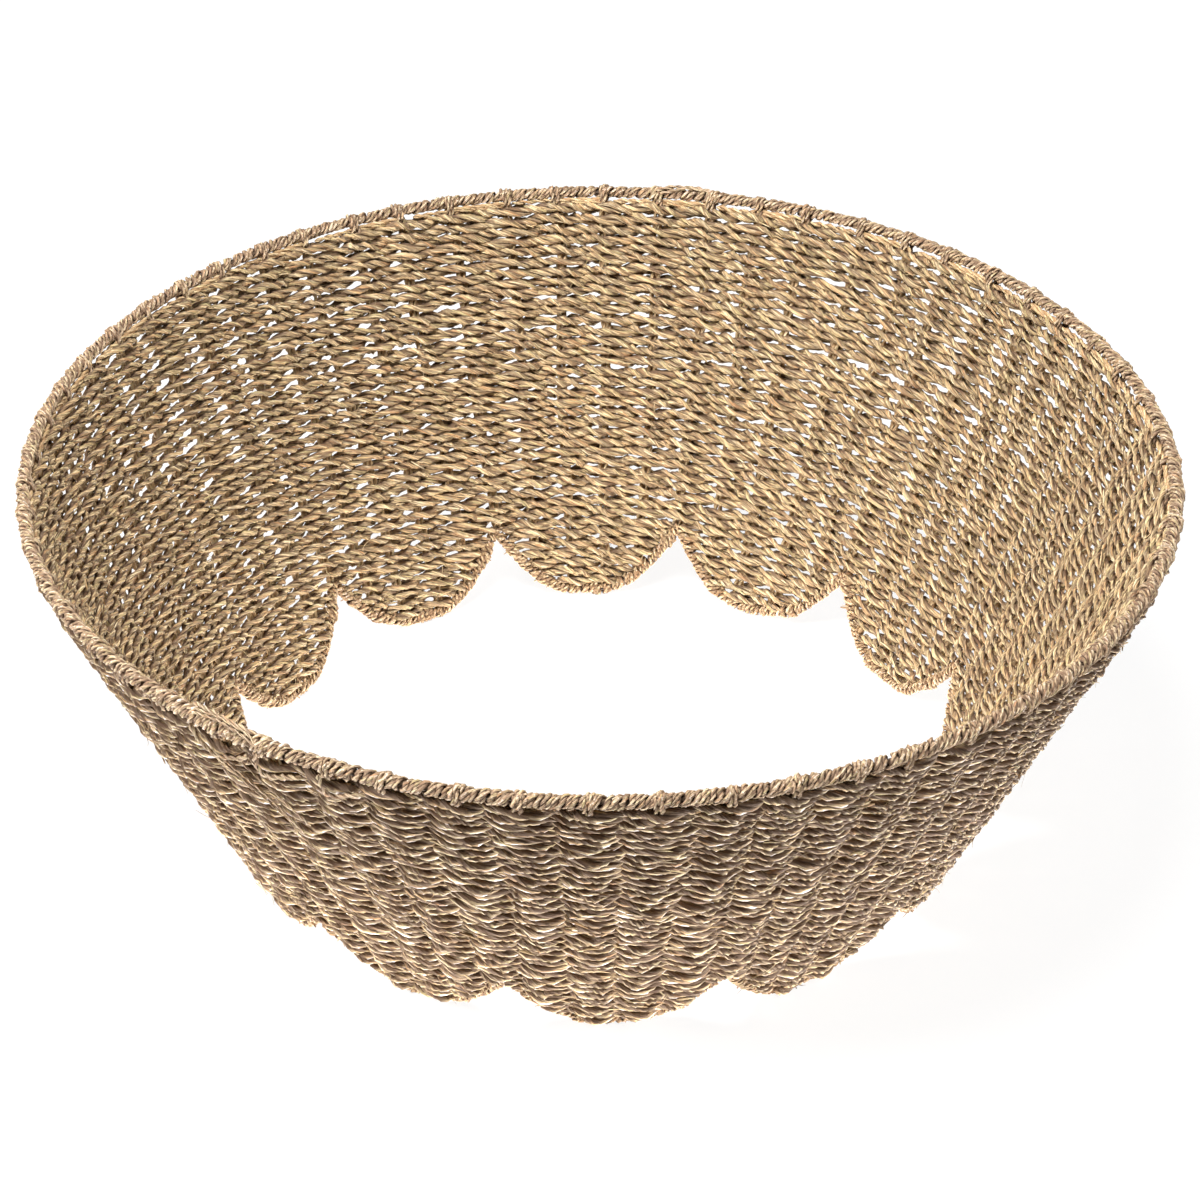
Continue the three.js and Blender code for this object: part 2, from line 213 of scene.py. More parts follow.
def wander(rng, along, wavelength):
    """A smooth wandering along a cord, mostly between -1 and 1."""
    waves = []
    for share in (0.61, 1.0, 1.73):
        phase = rng.uniform(0, 2 * np.pi)
        waves.append(np.sin(2 * np.pi * along / (wavelength * share) + phase))
    return sum(waves) / 2


def unit(vectors):
    return vectors / np.linalg.norm(vectors, axis=-1, keepdims=True)


def lengths_along(path):
    steps = np.linalg.norm(np.diff(path, axis=0), axis=1)
    return np.concatenate([[0.0], np.cumsum(steps)])


def make_cord(rng, path, facing, radius, turn, section, rough=0.08, squash=(1.0, 1.0)):
    """A tube along a path. facing sets where its section starts, turn how far it has turned."""
    tangent = unit(np.gradient(path, axis=0))
    first = unit(facing - (facing * tangent).sum(1, keepdims=True) * tangent)
    second = np.cross(tangent, first)
    angles = 2 * np.pi * np.arange(len(section.radii)) / len(section.radii)
    along = lengths_along(path)
    leaves = np.stack([share * (1 + rough * wander(rng, along, 24)) for share in section.radii], -1)
    across = leaves * np.broadcast_to(radius, len(path))[:, None]
    turned = angles[None, :] + np.broadcast_to(turn, len(path))[:, None]
    high = across * np.cos(turned) * squash[0]
    wide = across * np.sin(turned) * squash[1]
    rings = path[:, None, :] + high[..., None] * first[:, None, :] + wide[..., None] * second[:, None, :]
    length = np.broadcast_to((rng.uniform(0, 90000) + along)[:, None], across.shape)
    grain = np.stack([across * np.cos(angles), across * np.sin(angles), length], -1)
    hollow = np.broadcast_to(section.sunk, across.shape)
    return Cord(rings, grain, hollow)


def painted_shade_in_wall(aside, outward, first, second):
    """Painted light on a woven strand: a painted highlight along its crest outside, painted shade on the
    rest of the outer face and, on the inner face, painted shade towards the stakes.
    """
    aside = unit(aside)
    crest = math.cos(CREST_DIP) * first + math.sin(CREST_DIP) * second
    outside_painted_shade = (0.85 - (aside * crest[:, None, :]).sum(-1)) / 0.38
    turned_away = np.clip(((aside * first[:, None, :]).sum(-1) + 0.7) / 0.7, 0, 1)
    inside_painted_shade = 0.15 + INSIDE_SHADE * turned_away**1.5
    return np.where(outward > 0, outside_painted_shade, inside_painted_shade)


def two_plies(
    rng, path, facing, width, turn, lies="in wall", rough=0.18, squash=(1.0, 1.0), open_twist=OPEN_TWIST
):
    """A cord of two plies twisted round each other. lies says how it is held: in wall, wound or loose."""
    tangent = unit(np.gradient(path, axis=0))
    first = unit(facing - (facing * tangent).sum(1, keepdims=True) * tangent)
    second = np.cross(tangent, first)
    along = lengths_along(path)
    plies = []
    for half in (0, np.pi):
        spin = turn + half
        apart = open_twist * width * (1 + 0.22 * wander(rng, along, 37))
        high = (squash[0] * apart * np.cos(spin))[:, None]
        wide = (squash[1] * apart * np.sin(spin))[:, None]
        radius = (PLY_REACH - open_twist) * width * (1 + 0.15 * wander(rng, along, 21))
        ply = make_cord(rng, path + high * first + wide * second, facing, radius, spin, PLY, rough, squash)
        aside = ply.rings - path[:, None, :]
        outward = (aside * first[:, None, :]).sum(-1)
        # Painted shade for each point: in the wall, the painted highlight and painted shade of a woven
        # strand; wound, a painted highlight on the outermost part and painted shade between the turns;
        # loose, no painted shade and a faint even painted highlight.
        if lies == "in wall":
            sunk = painted_shade_in_wall(aside, outward, first, second)
        elif lies == "wound":
            half_depth = 0.5 * squash[0] * np.broadcast_to(width, len(path))[:, None]
            sunk = 0.05 + 0.8 * (1 - outward / half_depth)
        else:
            sunk = np.full_like(outward, 0.12)
        # The groove between the two plies takes painted shade as well.
        plies.append(ply._replace(hollow=np.clip(np.maximum(sunk, 0.8 * ply.hollow), 0, 1)))
    return plies


def tapered(count, ends, least=0.35):
    """Shares of the radius that close a cord's ends over a few rings."""
    from_end = np.minimum(np.arange(count), np.arange(count)[::-1])
    return least + (1 - least) * np.clip(from_end / ends, 0, 1) ** 0.5


def strip_map(cords):
    """A flat map for the cords' faces: every tube a strip, the strips folded into columns."""
    sides = cords[0].rings.shape[1]
    rows = sum(len(cord.rings) + 1 for cord in cords)
    strip_width = sides * 1.7
    columns = max(1, round(math.sqrt(rows * RING_STEP / strip_width)))
    height = math.ceil(rows / columns) + 1
    corners = []
    cap_corners = []
    row = 0
    shares = np.arange(sides + 1) / sides * 0.9 + 0.05
    circle = 2 * np.pi * np.arange(sides) / sides
    for cord in cords:
        count = len(cord.rings) - 1
        at = row + np.arange(count)
        column = (at // height)[:, None]
        left = (column + shares[None, :-1]) / columns
        right = (column + shares[None, 1:]) / columns
        low = np.broadcast_to((at % height)[:, None] / height, left.shape)
        high = low + 1 / height
        pairs = [(left, low), (right, low), (right, high), (left, high)]
        corners.append(np.stack([np.stack(pair, -1) for pair in pairs], 2).reshape(-1, 2))
        cap_row = row + count
        for middle in (0.25, 0.75):
            u = (cap_row // height + middle + 0.1 * np.cos(circle)) / columns
            v = (cap_row % height + 0.5 + 0.3 * np.sin(circle)) / height
            cap_corners.append(np.stack([u, v], -1))
        row += count + 1
    return np.concatenate(corners), np.concatenate(cap_corners)


def lay_cords(name, cords, material, nodes=()):
    """One piece from several cords: closed tubes with their grain, carried by the collar."""
    sides = cords[0].rings.shape[1]
    starts = np.cumsum([0] + [len(cord.rings) * sides for cord in cords])
    side = np.arange(sides)[None, :]
    after = (side + 1) % sides
    quads = []
    caps = []
    for cord, start in zip(cords, starts):
        count = len(cord.rings)
        ring = start + np.arange(count - 1)[:, None] * sides
        corners = [ring + side, ring + after, ring + sides + after, ring + sides + side]
        quads.append(np.stack(corners, -1).reshape(-1, 4))
        caps.append(start + np.arange(sides)[::-1])
        caps.append(start + (count - 1) * sides + np.arange(sides))
    quads = np.concatenate(quads)
    caps = np.stack(caps)
    loops = np.concatenate([quads.ravel(), caps.ravel()]).astype(np.int32)
    quad_starts = np.arange(len(quads)) * 4
    cap_starts = len(quads) * 4 + np.arange(len(caps)) * sides
    points = np.concatenate([cord.rings.reshape(-1, 3) for cord in cords]) * MM
    points[:, 2] = np.maximum(points[:, 2], 0)

    mesh = bpy.data.meshes.new(name)
    mesh.vertices.add(len(points))
    mesh.vertices.foreach_set("co", points.astype(np.float32).ravel())
    mesh.loops.add(len(loops))
    mesh.loops.foreach_set("vertex_index", loops)
    mesh.polygons.add(len(quads) + len(caps))
    mesh.polygons.foreach_set("loop_start", np.concatenate([quad_starts, cap_starts]).astype(np.int32))
    mesh.update(calc_edges=True)
    mesh.validate()
    mesh.shade_smooth()

    flat = mesh.uv_layers.new(name="OFBake")
    flat.uv.foreach_set("vector", np.concatenate(strip_map(cords)).astype(np.float32).ravel())
    grains = np.concatenate([cord.grain.reshape(-1, 3) for cord in cords])
    grain = mesh.attributes.new("grain", "FLOAT_VECTOR", "POINT")
    grain.data.foreach_set("vector", grains.astype(np.float32).ravel())
    painted_shadings = np.concatenate([cord.hollow.ravel() for cord in cords])
    hollow = mesh.attributes.new("hollow", "FLOAT", "POINT")
    hollow.data.foreach_set("value", painted_shadings.astype(np.float32))
    mesh.materials.append(material)

    piece = bpy.data.objects.new(name, mesh)
    bpy.context.scene.collection.objects.link(piece)
    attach(piece, "root")
    if nodes:
        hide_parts(*nodes)


# Stakes stand at each cusp and, a little unevenly, four times between
stake_rng = np.random.default_rng(11)
stake_angles = BAY / 2 + 2 * np.pi * np.arange(STAKES) / STAKES
uneven = stake_rng.uniform(-STAKE_UNEVEN, STAKE_UNEVEN, STAKES)
uneven[::STAKES_PER_LOBE] *= 0.15
stake_angles = stake_angles + np.radians(uneven)
laps = np.concatenate([stake_angles + 2 * np.pi * lap for lap in (-1, 0, 1, 2)])


def angle_at(stake, down):
    """The angle at a place counted in stakes; whole numbers are stakes, halves are crossings."""
    around = 2 * np.pi * np.asarray(stake) / STAKES
    lean = np.sin(7 * around + down / 38) + np.sin(17 * around - down / 55)
    lean = lean + 0.8 * np.sin(26 * around + down / 29)
    upright = np.interp(stake, np.arange(-STAKES, 3 * STAKES), laps)
    return upright + STAKE_LEAN / RIM_RADIUS * lean * np.clip(down / 40, 0, 1)


sway_rng = np.random.default_rng(5)
SWAYS = [(n, sway_rng.uniform(0, 2 * np.pi), sway_rng.uniform(-0.5, 0.5)) for n in (2, 3, 5, 9, 14, 23)]
WOBBLES = [
    [(n, sway_rng.uniform(0, 2 * np.pi), sway_rng.uniform(0.1, 0.4)) for n in (6, 11, 17, 29)]
    for course in range(FULL_COURSES + LOBE_COURSES)
]
BUNCHING = sway_rng.normal(0, 0.35, FULL_COURSES + LOBE_COURSES)


def course_down(course, angle):
    """A course's distance down the wall; neighbours sway together, as hand weaving does."""
    sway = sum(np.sin(n * angle + phase + rate * course) / (1 + 0.12 * n) for n, phase, rate in SWAYS)
    wobble = sum(size * np.sin(n * angle + phase) for n, phase, size in WOBBLES[course])
    steady = min(1.0, 0.3 + course / 4)
    return FIRST_COURSE + COURSE_STEP * course + steady * (0.5 * sway + wobble + BUNCHING[course])


def off_line(course, place, angle):
    """How far a course near the rim hangs below its even line, or is pulled above it."""
    hang = FIRST_SAG * np.sin(np.pi * place) ** 2
    off_splice = np.degrees(np.angle(np.exp(1j * (angle - SPLICE_ANGLE))))
    for middle, deep, half in SPLICE_SAGS:
        hang = hang + deep * np.exp(-(((off_splice - middle) / half) ** 2))
    lift = FIRST_LIFT * (1 - 0.35 * np.sin(angle))
    return hang * 0.65**course - lift * 0.8**course


def strand(rng, course, side, first, last, seam):
    """The two plies of one strand of a twined course, between two places counted in stakes."""
    level = FIRST_COURSE + COURSE_STEP * course
    bay = 2 * np.pi * (RIM_RADIUS - level * math.sin(FLARE)) / STAKES
    count = max(6, round((last - first) * bay / RING_STEP))
    place = np.linspace(first, last, count)
    angle = angle_at(place, level)
    along = (place - first) * bay
    calm = np.clip(np.minimum(along, along[-1] - along) / 12, 0, 1) if seam else np.ones(count)
    swing = side * np.cos(np.pi * place)
    cross = side * np.sin(np.pi * place)
    out = STRAND_OUT * swing * (1 + 0.10 * wander(rng, along, 90))
    out = out + 0.4 * calm * wander(rng, along, 34)
    down = course_down(course, angle) + STRAND_CROSS * cross
    down = down + off_line(course, place, angle)
    down = down + calm * (0.5 * wander(rng, along, 30) + 0.35 * wander(rng, along, 75))
    path = on_cone(angle, down, out)
    width = STRAND * (1 + 0.09 * wander(rng, along, 47) + 0.08 * wander(rng, along, 19))
    toward_back = np.sin(angle)
    snug = 1.08 + 0.01 * toward_back - LOOSE_SIDES * np.cos(angle) ** 2
    width = width * (1 - 0.05 * cross**2) * snug * (1 + 0.1 * 0.5**course) * tapered(count, 2, 0.6)
    slack = FRONT_SLACK * np.clip(-toward_back, 0, 1) ** 2 + BACK_SLACK * np.clip(toward_back, 0, 1) ** 2
    twists = np.cumsum(np.gradient(along) / (PLY_PITCH * (1 + slack)))
    turn = 2 * np.pi * twists + 0.9 * wander(rng, along, 60) + rng.uniform(0, np.pi)
    open_twist = OPEN_TWIST - FRONT_CLOSER * np.clip(-1.3 * toward_back, 0, 1)
    return two_plies(rng, path, wall_normal(angle), width, turn, open_twist=open_twist)


def full_course(rng, course):
    strands = []
    for side in (1, -1):
        first = rng.uniform(0, STAKES)
        strands.extend(strand(rng, course, side, first, first + STAKES + 0.12, True))
    return strands


def wall_courses(material):
    """The courses that run right round, in bands."""
    rng = np.random.default_rng(21)
    for band in range(math.ceil(FULL_COURSES / BAND_COURSES)):
        courses = range(band * BAND_COURSES, min((band + 1) * BAND_COURSES, FULL_COURSES))
        strands = [cord for course in courses for cord in full_course(rng, course)]
        lay_cords(f"wall_courses_{band + 1}", strands, material, ["wall_weave"])


def lobe_courses(material):
    """The short courses of each lobe, tucked into the edge's winding at both ends."""
    rng = np.random.default_rng(22)
    for lobe in range(LOBES):
        strands = []
        middle = STAKES_PER_LOBE * (lobe - 0.5)
        for course in range(FULL_COURSES, FULL_COURSES + LOBE_COURSES):
            down = FIRST_COURSE + COURSE_STEP * course
            half = edge_angle(down + 1.5) * STAKES / (2 * np.pi) - 0.06
            if half < 0.4:
                continue
            for side in (1, -1):
                strands.extend(strand(rng, course, side, middle - half, middle + half, False))
        number = f"{lobe + 1:02d}"
        lay_cords(f"lobe_courses_{number}", strands, material, [f"lobe_weave_{number}"])


def stake_end(stake):
    """How far down a stake reaches: into the edge's winding, or to the cusp."""
    across = (stake_angles[stake] + BAY / 2) % BAY - BAY / 2
    return float(edge_down(across)) - 0.5


def stake_pair(rng, left, right):
    """A doubled cord: up one stake, folded under the rim, down the next."""
    cords = []
    lower = np.linspace(0, 1, 60)
    fold = np.linspace(0, np.pi / 2, 7)[1:]
    for spread in (-STAKE_SPREAD, STAKE_SPREAD):
        legs = []
        for stake, way in ((left, 1), (right, -1)):
            bend = STAKE_FOLD - spread * 0.5
            top = RUN_DOWN + spread * 0.5
            downs = stake_end(stake) + (top + bend - stake_end(stake)) * lower
            angles = angle_at(stake, downs) + way * spread / (RIM_RADIUS - downs * math.sin(FLARE))
            fold_angles = angles[-1] + way * bend * (1 - np.cos(fold)) / RIM_RADIUS
            fold_downs = top + bend * (1 - np.sin(fold))
            leg = np.stack([np.append(angles, fold_angles), np.append(downs, fold_downs)], -1)
            legs.append(leg if way == 1 else leg[::-1])
        up, down = legs
        run = np.linspace(up[-1], down[0], 12)[1:-1]
        route = np.concatenate([up, run, down])
        path = on_cone(route[:, 0], route[:, 1])
        along = lengths_along(path)
        facing = wall_normal(route[:, 0])
        in_run = np.clip((RUN_DOWN + STAKE_FOLD - route[:, 1]) / STAKE_FOLD, 0, 1)
        path = path + (0.25 * wander(rng, along, 40) - RUN_IN * in_run)[:, None] * facing
        thick = STAKE_CORD / 2 * (1 + 0.08 * wander(rng, along, 30)) * (1 - 0.25 * in_run)
        turn = 2 * np.pi * along / STAKE_PLY_PITCH + rng.uniform(0, np.pi)
        cords.append(make_cord(rng, path, facing, thick, turn, TWO_PLIES))
    return cords


def stakes(material):
    rng = np.random.default_rng(23)
    for pair in range(STAKES // 2):
        number = f"{pair + 1:02d}"
        cords = stake_pair(rng, 2 * pair, 2 * pair + 1)
        lay_cords(f"stake_pair_{number}", cords, material, [f"warp_cord_{number}"])


def wound(rng, middle, outward, upward, winding):
    """A two-ply cord wound round a wire: points of the wire's middle and two directions square to it."""
    count = round(winding.total * winding.per_turn)
    turns = np.linspace(0, winding.total, count)
    uneven = turns + (0.25 * wander(rng, turns, 2.7) + 0.3 * wander(rng, turns, 17)) / winding.starts
    share = np.clip(uneven / winding.total, 0, 1)
    places = lengths_along(middle)
    places = places / places[-1]

    def between(values):
        return np.stack([np.interp(share, places, values[:, k]) for k in range(3)], -1)

    out = unit(between(outward))
    up = unit(between(upward))
    phase = 2 * np.pi * (turns + winding.start)
    far = WIRE / 2 + winding.depth / 2
    far = far * (1 + 0.07 * wander(rng, turns, 1.6) + 0.08 * wander(rng, turns, 8.3))
    lump = winding.lumps * np.clip(wander(rng, turns, 11), 0, 1) ** 2
    far = far * (1 + lump) * np.interp(share, places, np.broadcast_to(winding.size, len(places)))
    over = np.clip(wander(rng, turns, 2.9), 0, 1) * np.clip(np.sin(phase), 0, 1) ** 2
    high = far + winding.reach * over
    around = np.cos(phase)[:, None] * out + np.sin(phase)[:, None] * up
    path = between(middle) + (far * np.cos(phase))[:, None] * out + (high * np.sin(phase))[:, None] * up
    along = lengths_along(path)
    thick = winding.width * (1 + 0.14 * wander(rng, turns, 2.3) + 0.6 * lump) * tapered(count, 3, 0.5)
    turn = 2 * np.pi * along / winding.pitch + 1.2 * wander(rng, along, 55)
    squash = (winding.depth / winding.width, 1.0)
    return two_plies(rng, path, around, thick, turn, "wound", 0.12, squash)


def rim_winding(material):
    """Cords wound side by side right round the rim's hoop."""
    rng = np.random.default_rng(31)
    angles = SPLICE_ANGLE + np.linspace(0, 2 * np.pi + RIM_LAP, 361)
    outward = np.stack([np.cos(angles), np.sin(angles), 0 * angles], -1)
    upward = np.tile([0.0, 0.0, 1.0], (len(angles), 1))
    winding = Winding(
        total=2 * np.pi * RIM_RADIUS / (RIM_TURN * RIM_STARTS),
        depth=RIM_WRAP / 2 - WIRE / 2,
        width=RIM_TURN * 1.14,
        pitch=RIM_PLY_PITCH,
        per_turn=11,
        reach=0.0,
        lumps=RIM_LUMPS,
        size=0.95 - 0.06 * np.sin(angles),
        start=0.0,
        starts=RIM_STARTS,
    )
    hoop = on_cone(angles, 0.0)
    cords = []
    for k in range(RIM_STARTS):
        cords.extend(wound(rng, hoop, outward, upward, winding._replace(start=k / RIM_STARTS)))
    lay_cords("rim_winding", cords, material, ["rim_wrap"])


def lashing(rng, angle):
    """A loop that ties a stake's fold to the rim."""
    round_it = np.linspace(0, 2 * np.pi + 0.4, 26)
    top = -RIM_WRAP / 2 + 0.6
    bottom = RUN_DOWN + 2.8 + rng.uniform(-0.4, 2.2)
    half = (bottom - top) / 2
    deep = RIM_WRAP / 2
    slant = rng.uniform(1.0, 3.0)
    down = (top + bottom) / 2 - half * np.cos(round_it)
    bulge = np.clip((down - 1.0) / bottom, 0, 1)
    out = deep * np.sin(round_it) * (1 - 0.25 * bulge)
    sideways = slant * (round_it / (2 * np.pi) - 0.5) + 0.4 * wander(rng, round_it, 5)
    angles = angle + sideways / RIM_RADIUS
    path = on_cone(angles, down, out)
    facing = path - on_cone(angles, np.full_like(angles, (top + bottom) / 2))
    along = lengths_along(path)
    width = LASHING * rng.uniform(0.85, 1.2) * tapered(len(path), 2, 0.5)
    turn = 2 * np.pi * along / RIM_PLY_PITCH + rng.uniform(0, np.pi)
    return two_plies(rng, path, facing, width, turn, "wound")


def rim_lashings(material):
    rng = np.random.default_rng(32)
    loops = []
    for angle in stake_angles:
        middle = angle + rng.normal(0, 1.0 / RIM_RADIUS)
        loops.extend(lashing(rng, middle - 0.4 * LASHING / RIM_RADIUS))
        loops.extend(lashing(rng, middle + 0.4 * LASHING / RIM_RADIUS))
    lay_cords("rim_lashings", loops, material)


def smooth_route(knots, count):
    """A smooth line through a few places given as degrees, distance down and distance out."""
    knots = np.array(knots, float)
    share = np.linspace(0, 1, len(knots))
    fine = np.linspace(0, 1, count)
    rough = np.stack([np.interp(fine, share, knots[:, k]) for k in range(3)], -1)
    padded = np.concatenate([rough[:1], rough[:1], rough, rough[-1:], rough[-1:]])
    return sum(padded[k : k + count] for k in range(5)) / 5


def rim_splices(material):
    """Where lengths of the rim's cord meet: fat turns, and strands loose along the rim or the wall."""
    rng = np.random.default_rng(34)
    cords = []
    for splice in SPLICES:
        for route in splice.strands:
            places = smooth_route(route[1:], SPLICE_RINGS)
            angles = splice.middle + np.radians(places[:, 0])
            path = on_cone(angles, places[:, 1], places[:, 2])
            along = lengths_along(path)
            width = route[0] * (1 + 0.15 * wander(rng, along, 18)) * tapered(SPLICE_RINGS, 2, 0.5)
            turn = 2 * np.pi * along / LOOSE_PLY_PITCH + rng.uniform(0, np.pi)
            cords.extend(two_plies(rng, path, wall_normal(angles), width, turn, "loose"))
        for fat_turn in splice.turns:
            phase = np.linspace(0, 2 * np.pi + 0.5, SPLICE_RINGS)
            angles = splice.middle + np.radians(fat_turn + 0.5 * (phase / (2 * np.pi) - 0.5))
            far = (RIM_WRAP / 2 - 1.1) * (1 + 0.08 * wander(rng, phase, 4))
            path = on_cone(angles, far * np.cos(phase), far * np.sin(phase))
            turn = 2 * np.pi * lengths_along(path) / RIM_PLY_PITCH
            width = FAT_TURN * rng.uniform(0.85, 1.15) * tapered(SPLICE_RINGS, 2, 0.5)
            facing = path - on_cone(angles, 0.0 * angles)
            cords.extend(two_plies(rng, path, facing, width, turn, "wound"))
    lay_cords("rim_splices", cords, material)


def tucked_ends(material):
    """Cut stake ends laid along under the rim, from one pair of stakes to the next."""
    rng = np.random.default_rng(33)
    ends = []
    for left in range(1, STAKES, 2):
        start = stake_angles[left] - rng.uniform(0, 4) / RIM_RADIUS
        stop = angle_at(left + 1, 0.0) + rng.uniform(-9, 4) / RIM_RADIUS
        angles = np.linspace(start, stop, 16)
        bow = np.sin(np.linspace(0, np.pi, 16))
        down = RUN_DOWN + rng.uniform(-0.5, 0.9) + rng.uniform(-0.5, 1.2) * bow
        path = on_cone(angles, down, rng.uniform(-0.5, 1.2) - RUN_IN + rng.uniform(0, 1.5) * bow)
        along = lengths_along(path)
        width = TUCKED_END * rng.uniform(0.85, 1.15) * tapered(len(path), 2, 0.6)
        turn = 2 * np.pi * along / END_PLY_PITCH + rng.uniform(0, np.pi)
        ends.extend(two_plies(rng, path, wall_normal(angles), width, turn))
    lay_cords("tucked_ends", ends, material)


def face_point(course, place, face, lift):
    """Where the outer (1) or inner (-1) face of a course lies at a place counted in stakes."""
    swing = np.cos(np.pi * place)
    side = np.where(swing * face >= 0, 1, -1)
    level = FIRST_COURSE + COURSE_STEP * course
    angle = angle_at(place, level)
    down = course_down(course, angle) + STRAND_CROSS * side * np.sin(np.pi * place)
    return angle, down, face * (STRAND_OUT * np.abs(swing) + lift)


def course_place(rng):
    """A course and a place on it, anywhere on the wall or in a lobe."""
    course = int(rng.integers(0, FULL_COURSES + LOBE_COURSES - 1))
    place = rng.uniform(0, STAKES)
    if course >= FULL_COURSES:
        half = edge_angle(FIRST_COURSE + COURSE_STEP * course + 6) * STAKES / (2 * np.pi) - 0.4
        lobe = int(rng.integers(0, LOBES))
        place = STAKES_PER_LOBE * (lobe + 0.5) + rng.uniform(-1, 1) * max(half, 0.1)
    return course, place


def loose_blades(material):
    """Leaf blades that have worked loose from the strands, on both faces of the wall."""
    outside = ("loose_blades_outside", 1, BLADES_OUTSIDE, 51)
    inside = ("loose_blades_inside", -1, BLADES_INSIDE, 52)
    for name, face, count, seed in (outside, inside):
        rng = np.random.default_rng(seed)
        blades = []
        for _ in range(count):
            course, place = course_place(rng)
            angle, down, out = face_point(course, place, face, 1.9)
            length = rng.uniform(6, 15)
            slope = np.radians(rng.normal(17, 9)) * face
            step = np.linspace(-0.5, 0.5, 6) * length * rng.choice((-1, 1))
            lift = rng.uniform(-0.2, 0.6) + rng.uniform(0, 1) ** 3 * 3.0 * np.linspace(0, 1, 6) ** 2
            radius = RIM_RADIUS - down * math.sin(FLARE)
            angles = angle + step * np.cos(slope) / radius
            path = on_cone(angles, down + step * np.sin(slope), out + face * lift)
            thick = rng.uniform(0.45, 0.85) * np.array([0.5, 0.9, 1, 1, 0.8, 0.35])
            turn = rng.normal(0, 0.5) + rng.normal(0, 0.8) * np.linspace(0, 1, 6)
            blades.append(make_cord(rng, path, face * wall_normal(angles), thick, turn, BLADE, 0.0))
        lay_cords(name, blades, material)


def stray_fibres(material):
    """Hair-thin fibres that stand off the weave."""
    rng = np.random.default_rng(53)
    hairs = []
    for _ in range(FIBRES):
        face = int(rng.choice((-1, 1)))
        course, place = course_place(rng)
        angle, down, out = face_point(course, place, face, 1.8)
        length = rng.uniform(6, 20)
        slope = rng.uniform(0, 2 * np.pi)
        step = np.linspace(0, 1, 7) * length
        curl = rng.normal(0, 0.5) * np.linspace(0, 1, 7)
        lift = rng.uniform(0.5, 5) * np.linspace(0, 1, 7) ** 1.5
        radius = RIM_RADIUS - down * math.sin(FLARE)
        angles = angle + step * np.cos(slope + curl) / radius
        path = on_cone(angles, down + 0.6 * step * np.sin(slope + curl), out + face * lift)
        thick = rng.uniform(0.16, 0.3) * np.linspace(1, 0.35, 7)
        hairs.append(make_cord(rng, path, wall_normal(angles), thick, 0.0, HAIR, 0.0))
    lay_cords("stray_fibres", hairs, material)


def edge_winding(material):
    """A cord wound round the edge wire of each lobe; some turns reach over the last course."""
    rng = np.random.default_rng(41)
    across = np.linspace(-BAY / 2, BAY / 2, 121)
    for lobe in range(LOBES):
        angles = lobe * BAY + across
        sway = 0.9 * wander(rng, across, 0.2) * np.cos(across / BAY * np.pi)
        middle = on_cone(angles, edge_down(across) + sway)
        outward = wall_normal(angles)
        upward = unit(np.cross(outward, np.gradient(middle, axis=0)))
        winding = Winding(
            total=lengths_along(middle)[-1] / EDGE_TURN,
            depth=EDGE_WRAP / 2 - WIRE / 2,
            width=EDGE_TURN * 1.2,
            pitch=EDGE_PLY_PITCH,
            per_turn=12,
            reach=EDGE_REACH,
            lumps=EDGE_LUMPS,
            size=1.0,
            start=0.0,
            starts=1,
        )
        cords = wound(rng, middle, outward, upward, winding)
        number = f"{lobe + 1:02d}"
        lay_cords(f"edge_winding_{number}", cords, material, [f"edge_wrap_{number}"])


def edge_fray(material):
    """Short cut ends of blades that stand out of the edge's winding."""
    rng = np.random.default_rng(54)
    ends = []
    for _ in range(FRAYED_ENDS):
        across = rng.uniform(-1, 1) * BAY / 2
        angle = BAY * int(rng.integers(0, LOBES)) + across
        length = rng.uniform(2.5, 6.5)
        share = np.linspace(0, 1, 5)
        face = rng.choice((-1, 1))
        out = face * (EDGE_WRAP / 2 * rng.uniform(0.3, 0.9) + length * rng.uniform(0, 0.5) * share)
        down = edge_down(across) + rng.uniform(-4, 1.5) + length * rng.uniform(-0.2, 0.6) * share
        angles = angle + length * rng.uniform(-0.9, 0.9) * share / TIP_RADIUS
        thick = rng.uniform(0.4, 0.75) * np.array([0.8, 1, 1, 0.9, 0.6])
        path = on_cone(angles, down, out)
        ends.append(make_cord(rng, path, wall_normal(angles), thick, rng.uniform(0, np.pi), BLADE, 0.0))
    lay_cords("edge_fray", ends, material)


def new_node(tree, kind, **settings):
    node = tree.nodes.new(kind)
    for key, value in settings.items():
        setattr(node, key, value)
    return node


def colour(red, green, blue):
    """A colour written from 0 to 255 as it is seen, as linear light."""

    def linear(v):
        v = v / 255
        return v / 12.92 if v <= 0.04045 else ((v + 0.055) / 1.055) ** 2.4

    return (linear(red), linear(green), linear(blue), 1.0)


